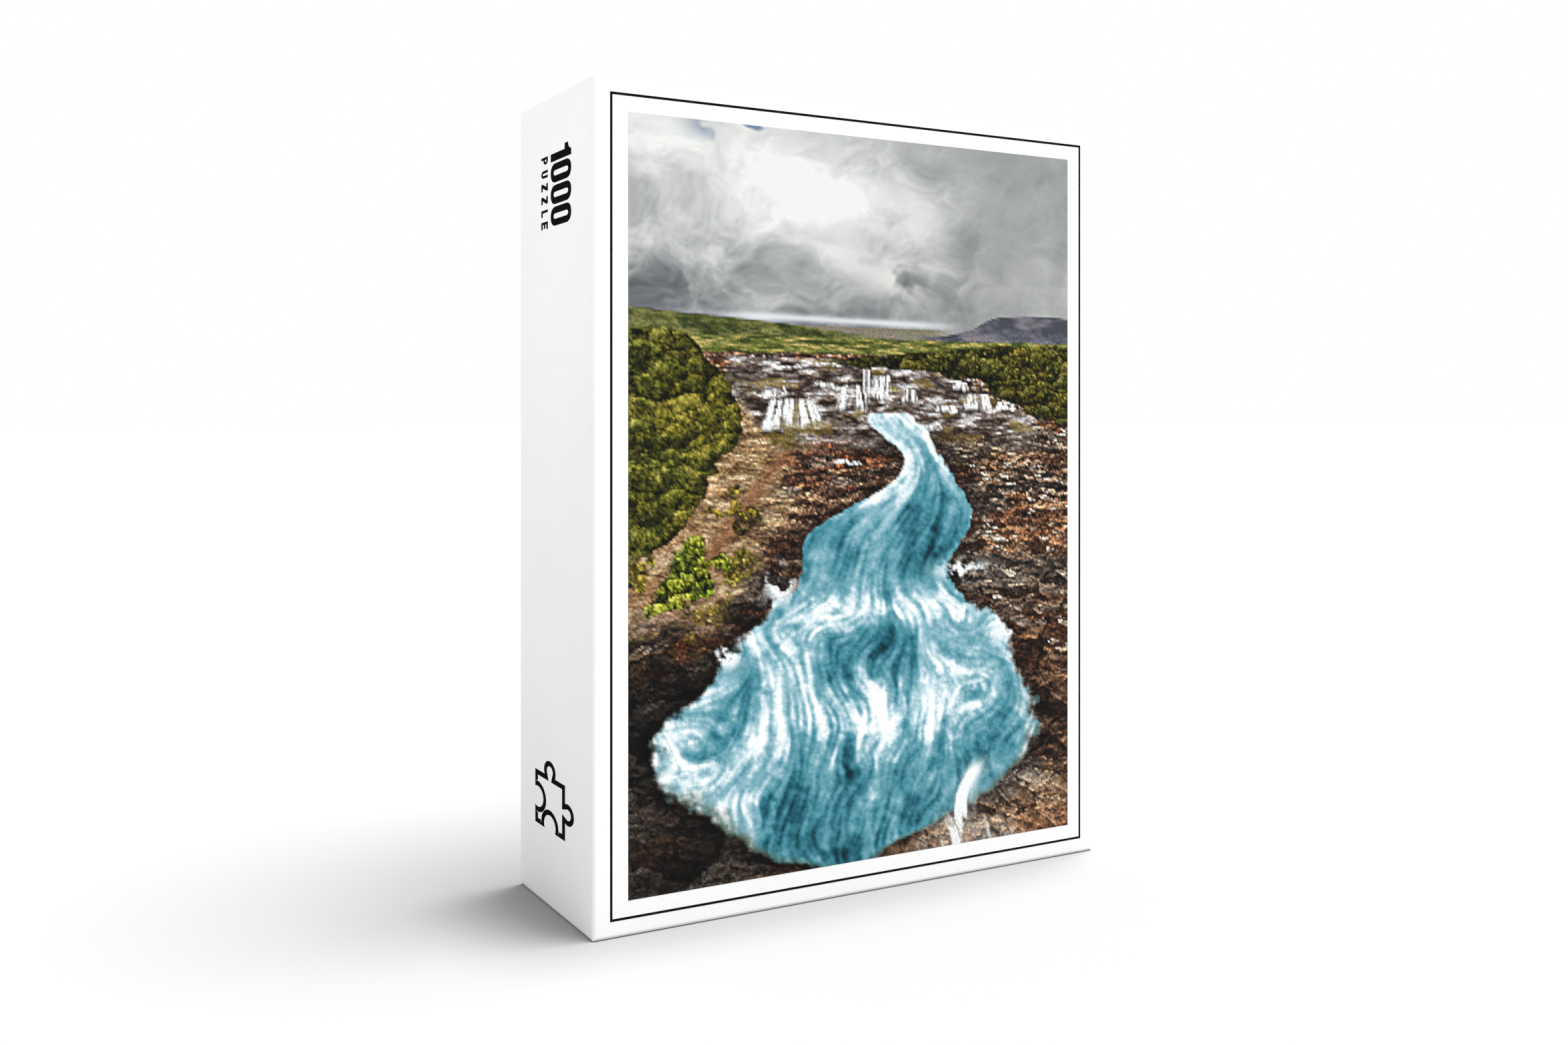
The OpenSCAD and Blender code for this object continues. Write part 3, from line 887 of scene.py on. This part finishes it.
def paint_far(u, v, x, cell):
    """Hills on the left, a long blue mountain on the right, and the plain before them."""
    sky = paint_sky(u, v, x, cell)
    rough = lambda scale, seed: clouds(x * scale, v * 0, 4, seed) - 0.5
    ridge = (rise(-0.0012, 0.0012, v - 0.264 - 0.004 * rough(10, 87)) * rise(0.24, 0.38, u)
             * rise(0.72, 0.64, u))
    far = over(sky, (.50, .48, .40), 0.9 * ridge)
    top = 0.274 - 0.034 * rise(0.66, 0.88, u) - 0.005 * bell(u, 0.80, 0.04) + 0.005 * rough(18, 84)
    slope = clouds(x * 30, v * 80, 4, 85, 0.6)
    mountain = tint(slope, [(0.3, (.27, .28, .31)), (0.6, (.40, .40, .43)), (0.8, (.48, .47, .48))])
    far = over(far, mountain, rise(-0.0012, 0.0012, v - top) * rise(0.60, 0.68, u))
    top = 0.247 + 0.040 * u + 0.028 * u * u + 0.003 * rough(14, 82)
    hill_n = clouds(x * 34, v * 90, 5, 83, 0.68)
    hill = tint(hill_n, [(0.3, (.18, .21, .10)), (0.5, (.31, .34, .17)), (0.7, (.47, .47, .27))])
    far = over(far, hill, rise(-0.0012, 0.0012, v - top) * rise(0.56, 0.40, u))
    plain_n = clouds(x * 34, v * 200, 4, 80, 0.65)
    plain = tint(plain_n, [(0.3, (.24, .28, .12)), (0.5, (.41, .43, .20)), (0.7, (.62, .58, .33))])
    return over(far, plain, rise(0.276, 0.282, v + 0.004 * rough(24, 86)))


def falls(u, v, x, at, width, drop, seed):
    """White threads of water over a ledge, spreading a little as they drop."""
    t = (v - at[1] - 0.012 * (clouds(x * 26, v * 0 + seed, 3, seed) - 0.5)) / drop
    s = (u - at[0]) / (width * (0.80 + 0.40 * np.clip(t, 0, 1)))
    threads = rise(0.34, 0.62, clouds(s * width * 130, t * 0.8 + 3, 3, seed + 2, 0.7))
    ragged = clouds(x * 60, v * 60, 2, seed + 4)
    inside = (rise(1.0, 0.75, np.abs(s) + 0.3 * (ragged - 0.5)) * rise(-0.08, 0.08, t)
              * rise(1.1, 0.6, t + 0.5 * (ragged - 0.5)))
    return inside * (0.25 + 0.75 * threads)


# Falls on the shelf: the place of their top, their half width and their drop
LEDGES = ((0.335, 0.366, 0.068, 0.042), (0.300, 0.350, 0.030, 0.012), (0.470, 0.345, 0.040, 0.038),
          (0.535, 0.330, 0.026, 0.034), (0.500, 0.320, 0.010, 0.046), (0.600, 0.347, 0.022, 0.024),
          (0.722, 0.336, 0.022, 0.014), (0.765, 0.356, 0.034, 0.028), (0.835, 0.368, 0.026, 0.012),
          (0.690, 0.370, 0.028, 0.012), (0.410, 0.338, 0.034, 0.008), (0.650, 0.395, 0.028, 0.010),
          (0.460, 0.446, 0.035, 0.006), (0.575, 0.316, 0.07, 0.005), (0.36, 0.315, 0.09, 0.005))

# Spray beside the pool: its place, half width and half height
SPRAYS = ((0.310, 0.612, 0.035, 0.026), (0.725, 0.606, 0.06, 0.014), (0.83, 0.70, 0.05, 0.010),
          (0.20, 0.70, 0.03, 0.02))

# Down the picture: the middle of the river, half its width, and how much of it foams
RIVER_MIDDLE = ((0.380, 0.540), (0.400, 0.560), (0.418, 0.612), (0.440, 0.628), (0.470, 0.640),
                (0.500, 0.620), (0.540, 0.560), (0.600, 0.510), (0.640, 0.500), (0.690, 0.520),
                (0.750, 0.500), (0.820, 0.490), (0.880, 0.500), (0.930, 0.480), (1.0, 0.44))
RIVER_HALF = ((0.380, 0.020), (0.392, 0.085), (0.402, 0.080), (0.416, 0.045), (0.440, 0.042),
              (0.470, 0.055), (0.500, 0.115), (0.525, 0.185), (0.570, 0.190), (0.605, 0.160),
              (0.640, 0.215), (0.690, 0.300), (0.740, 0.350), (0.790, 0.420), (0.850, 0.430),
              (0.890, 0.380), (0.930, 0.290), (0.965, 0.200), (0.985, 0.120), (1.0, 0.02))
FOAM = ((0.380, 0.70), (0.400, 0.50), (0.425, 0.70), (0.470, 0.66), (0.505, 0.40), (0.540, 0.14),
        (0.600, 0.05), (0.625, 0.55), (0.670, 0.62), (0.730, 0.36), (0.780, 0.56), (0.830, 0.60),
        (0.880, 0.44), (0.920, 0.24), (0.960, 0.12))


# Bushes: the foot of those on the right along u, and the edge of those on the left down v
BUSH_FOOT = ((0.42, 0.306), (0.50, 0.316), (0.65, 0.322), (0.78, 0.338), (0.86, 0.375),
             (1.0, 0.402))
BUSH_EDGE = ((0.270, 0.08), (0.295, 0.16), (0.335, 0.20), (0.375, 0.235), (0.42, 0.21),
             (0.46, 0.185), (0.50, 0.15), (0.54, 0.10), (0.57, 0.02))


def flow_lines(x, v, flow_x, flow_y, sample, reach, steps):
    """A noise averaged along the stream through each point."""
    rows, cols = x.shape
    aspect = x[0, -1] + x[0, 0]
    total, weight = sample(x, v), 1.0
    for way in (-1, 1):
        px, py = x, v
        for k in range(1, steps + 1):
            col = np.clip((px / aspect * cols).astype(int), 0, cols - 1)
            row = np.clip((py * rows).astype(int), 0, rows - 1)
            px = px + way * reach / steps * flow_x[row, col]
            py = py + way * reach / steps * flow_y[row, col]
            share = 1 - (k / (steps + 1)) ** 2
            total = total + share * sample(px, py)
            weight += share
    return total / weight


def stretch(noise, spread):
    """The same noise about 0.5, with a fixed spread."""
    return 0.5 + (noise - noise.mean()) * spread / noise.std()


def paint_water(u, v, x, cell, mid):
    """A turquoise river that breaks over a weir into a wide foaming pool."""
    middle, half = line(v, RIVER_MIDDLE), line(v, RIVER_HALF)
    ragged = clouds(x * 9, v * 11, 3, 60, 0.6) - 0.5
    shore = (0.07 * (clouds(x * 14, v * 16, 5, 61, 0.65) - 0.5) * (0.5 + 0.9 * rise(0.5, 0.7, v))
             + 0.05 * ragged * rise(0.6, 0.7, v))
    off = (u - middle) / np.maximum(half, 1e-3)
    edge = (1 - np.abs(off)) * half + shore
    lower = rise(0.62, 0.68, v)
    soft = 0.005 + 0.010 * lower
    inside = (rise(-soft, soft, edge + 0.016 * (clouds(x * 70, v * 70, 3, 62, 0.7) - 0.5))
              * rise(0.379, 0.385, v))
    slope = np.gradient(middle, axis=0) + off * np.gradient(half, axis=0)
    down_x = np.clip(slope * v.shape[0] * (x[0, -1] + x[0, 0]), -2.5, 2.5)
    fan_x, fan_y = x - 0.36, v - 0.70 + 0.06
    far = np.hypot(fan_x, fan_y) + 0.03
    swirl = 0.9 * np.tanh(fan_x / 0.06) * bell(v, 0.80, 0.12)
    pool_x, pool_y = fan_x / far - swirl * fan_y / far, fan_y / far + swirl * fan_x / far
    eddy = clouds(x * 4.4 + 3, v * 5.2, 3, 63, 0.5)
    ey, ex = np.gradient(eddy)
    curl = cell * (8.0 + 95.0 * lower)
    flow_x = (1 - lower) * down_x + lower * pool_x + curl * ey
    flow_y = (1 - lower) + lower * pool_y - curl * ex
    speed = np.hypot(flow_x, flow_y) + 1e-6
    flow_x, flow_y = flow_x / speed, flow_y / speed

    flow = (x, v, flow_x, flow_y)
    hair = flow_lines(*flow, lambda a, b: value_noise(a * 150, b * 150, 65), 0.026, 8)
    wisp = flow_lines(*flow, lambda a, b: clouds(a * 52, b * 52, 2, 66, 0.6), 0.048, 8)
    patch = flow_lines(*flow, lambda a, b: clouds(a * 13 + 3, b * 15, 5, 67, 0.62), 0.05, 6)
    hair, wisp, patch = stretch(hair, 0.20), stretch(wisp, 0.21), stretch(patch, 0.20)
    wx = x + 0.05 * (eddy - 0.5)
    froth = stretch(clouds(wx * 60 + 3, v * 66, 3, 68, 0.75), 0.20)

    arch = np.sqrt(np.clip(1 - (off * 0.95) ** 2, 0, 1))
    weir = bell(v, 0.604 + 0.055 * arch + 0.010 * (patch - 0.5), 0.017)
    boil = (bell(u, 0.52, 0.17) * bell(v, 0.80, 0.045)
            + 0.5 * bell(u, 0.28, 0.12) * bell(v, 0.72, 0.05))
    rim = rise(0.10, 0.0, edge) * lower * rise(0.93, 0.86, v)
    level = line(v, FOAM) + 0.34 * weir + 0.45 * boil + 0.25 * rim
    level -= (0.70 * bell(u, 0.57, 0.11) * bell(v, 0.705, 0.035)
              + 0.3 * bell(u, 0.80, 0.1) * bell(v, 0.86, 0.05))
    mixed = 0.27 * hair + 0.28 * wisp + 0.27 * patch + 0.18 * froth
    foam = rise(0.0, 0.34, mixed - 0.76 + 0.50 * level)
    tone = (0.22 * hair + 0.26 * wisp + 0.32 * patch + 0.20 * froth + 0.30 * (level - 0.26)
            - 0.04 * rise(0.03, 0.14, edge))
    water = tint(tone, [(0.16, (.04, .18, .22)), (0.29, (.12, .36, .42)), (0.43, (.27, .53, .59)),
                        (0.60, (.50, .68, .73)), (0.82, (.78, .86, .89))])
    shallow = rise(0.045, 0.0, edge) * rise(0.76, 0.90, v) * (0.5 + patch)
    water = over(water, (.30, .34, .27), 0.55 * shallow)
    white = tint(0.5 * hair + 0.2 * wisp + 0.3 * froth,
                 [(0.25, (.60, .74, .79)), (0.45, (.82, .90, .92)), (0.62, (.97, .98, .985))])
    water = over(water, white, 0.92 * foam)
    wet = rise(-0.09, 0.0, edge + 0.06 * (mid - 0.5)) * rise(0.385, 0.43, v)
    return water, inside, wet


def blurred(picture, passes):
    """The picture softened by a small kernel, several times over."""
    for _ in range(passes):
        for axis in (0, 1):
            first, last = np.take(picture, [0], axis), np.take(picture, [-1], axis)
            count = picture.shape[axis]
            wide = np.concatenate((first, picture, last), axis)
            before, after = (np.take(wide, range(k, k + count), axis) for k in (0, 2))
            picture = 0.5 * picture + 0.25 * (before + after)
    return picture


def sharpened(picture, fine, broad):
    """Edges drawn harder, as a print from a sharp photograph has them."""
    crisp = picture + fine[..., None] * (picture - blurred(picture, 1))
    return crisp + broad[..., None] * (picture - blurred(picture, 12))


def landscape(cols, rows, aspect):
    """Colours of a river landscape, top row first, and how deep its fine detail goes."""
    u, v = np.meshgrid((np.arange(cols) + 0.5) / cols, (np.arange(rows) + 0.5) / rows)
    x = u * aspect
    cell = rows / PICTURE_ROWS
    ground, mid, fine = paint_rock(u, v, x, cell)

    # Left bank: dry earth, grass and a footpath
    bank_edge = 0.36 - 0.62 * (v - 0.42) + 0.14 * (mid - 0.5)
    bank = (rise(-0.03, 0.05, bank_edge - u) * rise(0.70, 0.62, v + 0.10 * (mid - 0.5))
            * rise(0.35, 0.39, v))
    earth = tint(0.5 * mid + 0.5 * fine,
                 [(0.3, (.38, .28, .17)), (0.5, (.66, .53, .36)), (0.7, (.90, .80, .63))])
    ground = over(ground, earth, 0.75 * bank)
    path = (bell(u, 0.335 - 1.15 * (v - 0.42), 0.014 + 0.06 * np.clip(v - 0.4, 0, 1))
            * rise(0.41, 0.45, v) * rise(0.66, 0.60, v))
    ground = over(ground, np.array([.50, .34, .23]) * (0.8 + 0.4 * fine)[..., None], 0.8 * path)
    grass = rise(0.54, 0.62, clouds(x * 18 + 5, v * 22, 4, 78)) * bank * rise(0.36, 0.42, v)
    leaves = paint_leaves(v, x, 22, 71)
    ground = over(ground, leaves * np.array([1.15, 1.05, 0.9]), 0.8 * grass)

    # Shelf of the cascade
    left = 0.185 + 0.05 * (mid - 0.5) + 1.0 * np.clip(v - 0.340, 0, 1)
    right = 0.64 + 3.6 * np.clip(v - 0.31, 0, 0.08) + 0.05 * (mid - 0.5)
    shelf = (rise(0.305, 0.311, v + 0.004 * (mid - 0.5)) * rise(0.0, 0.03, u - left)
             * rise(0.0, 0.03, right - u) * rise(0.45, 0.40, v))
    strata = clouds(x * 34, v * 120, 4, 41, 0.65)
    layers = tint(strata + 0.09 * bell(v, 0.318, 0.016),
                  [(0.3, (.16, .13, .12)), (0.48, (.34, .29, .26)),
                   (0.60, (.50, .46, .43)), (0.74, (.76, .75, .75))])
    layers = layers * relief(strata, 0.5 / cell, 1.3 / cell)[..., None]
    layers = over(layers, (.50, .42, .20), 0.60 * rise(0.60, 0.70, clouds(x * 24, v * 50, 4, 43)))
    ground = over(ground, layers, 0.92 * shelf)
    white = np.zeros(u.shape)
    for k, (fall_u, fall_v, width, drop) in enumerate(LEDGES):
        white = np.maximum(white, falls(u, v, x, (fall_u, fall_v), width, drop, 150 + 3 * k))
    ground = over(ground, (.93, .95, .96), white)

    # River, spray beside it, and the outflow over the rim
    water, river, wet = paint_water(u, v, x, cell, mid)
    ground = ground * (1 - 0.42 * wet * (1 - river))[..., None]
    ground = over(ground, water, river)
    lick = clouds(x * 34, v * 34, 4, 70, 0.65)
    for spray_u, spray_v, wide, high in SPRAYS:
        spray = 1.3 * bell(u, spray_u, wide) * bell(v, spray_v, high) * rise(0.42, 0.60, lick)
        ground = over(ground, (.90, .93, .94), spray)
    out_mid = line(v, ((0.865, 0.79), (0.90, 0.75), (0.94, 0.715), (1.0, 0.745)))
    outflow = bell(u, out_mid, 0.030 + 0.06 * rise(0.94, 1.0, v)) * rise(0.87, 0.90, v)
    streaks = rise(0.35, 0.6, clouds((u - out_mid) * 34, v * 10, 4, 69, 0.6))
    ground = over(ground, (.92, .94, .94), outflow * (0.35 + 0.75 * streaks))

    picture = over(paint_far(u, v, x, cell), ground, rise(0.298, 0.304, v + 0.006 * (mid - 0.5)))

    # Bushes on both banks and low plants
    small = paint_leaves(v, x, 26, 75)
    top = 0.285 + 0.018 * rise(0.80, 0.45, u) + 0.014 * (clouds(x * 22, v * 0, 4, 73) - 0.5)
    foot = line(u, BUSH_FOOT) + 0.024 * (clouds(x * 26, v * 26, 4, 74) - 0.5)
    picture = over(picture, small * (0.50 + 0.22 * rise(0.0, 0.03, foot - v))[..., None],
                   rise(-0.002, 0.002, v - top) * rise(-0.002, 0.002, foot - v)
                   * rise(0.40, 0.48, u))
    edge_u = line(v, BUSH_EDGE) + 0.09 * (clouds(x * 15, v * 15, 5, 72, 0.6) - 0.5)
    bushes = (rise(-0.004, 0.004, edge_u - u)
              * rise(0.272, 0.278, v + 0.016 * (clouds(x * 20, v * 0, 4, 76) - 0.5))
              * rise(0.60, 0.55, v))
    large = over(paint_leaves(v, x, 13, 77), small, 0.30 * np.ones(u.shape))
    picture = over(picture, large * (1 - 0.35 * rise(0.03, 0.0, edge_u - u))[..., None], bushes)
    low = (0.052 - np.hypot((u - 0.13) * 0.55 + 0.6 * (v - 0.59), (v - 0.595) * 1.2)
           + 0.09 * (clouds(x * 22, v * 22, 5, 79, 0.6) - 0.5))
    picture = over(picture, leaves * np.array([1.0, 1.12, 1.0]), rise(0.0, 0.014, low))
    land = rise(0.255, 0.275, v)
    picture = sharpened(picture, 0.9 + 0.5 * land * (1 - river), 0.12 + 0.10 * land * (1 - river))
    detail = 0.05 + 0.75 * land * (1 - 0.80 * river)
    return np.clip(picture, 0, 1), detail


add_camera()
add_stage()

# ---------------------------------------------------------------- CAD nodes

LID_PAPER = paper("lid_paper", (0.77, 0.77, 0.77), (0.745, 0.745, 0.745))
BASE_PAPER = paper("base_paper", (0.79, 0.79, 0.78), (0.76, 0.76, 0.75), 0.55)
LEAFLET_PAPER = paper("leaflet_paper", (0.86, 0.85, 0.82), (0.80, 0.79, 0.76), 0.7)
BOARD = greyboard()
TAPE = kraft_tape()
INK = ink("black_ink", (0.004, 0.004, 0.004), (0.010, 0.010, 0.010))


def dress(node, material):
    piece = nodes[node]
    piece.data.materials.clear()
    piece.data.materials.append(material)


DRESS = {
    "lid_wrap": LID_PAPER,
    "lid_board": BOARD,
    "lid_corner_stays": TAPE,
    "base_wrap": BASE_PAPER,
    "base_board": BOARD,
    "base_corner_stays": TAPE,
    "leaflet": LEAFLET_PAPER,
}
for node, material in DRESS.items():
    dress(node, material)

# ---------------------------------------------------------------- print

frame_outline = (line_loop(-LINE_WIDTH / 2), line_loop(LINE_WIDTH / 2))
add_ink("front_frame_line", [frame_outline], front_place, INK)
add_picture(printed_picture())
for side in ("left", "right"):
    add_ink("number_" + side, number_outlines(), side_place(side), INK)
    add_ink("word_" + side, word_outlines(), side_place(side), INK)
    add_ink("mark_" + side, mark_outlines(), side_place(side), INK)

# ---------------------------------------------------------------- puzzle and bag

PUZZLE_ROWS = 25
for row in range(1, PUZZLE_ROWS + 1):
    dress("pieces_row_%02d" % row, puzzle_board(row, PUZZLE_ROWS))
add_bag(film())
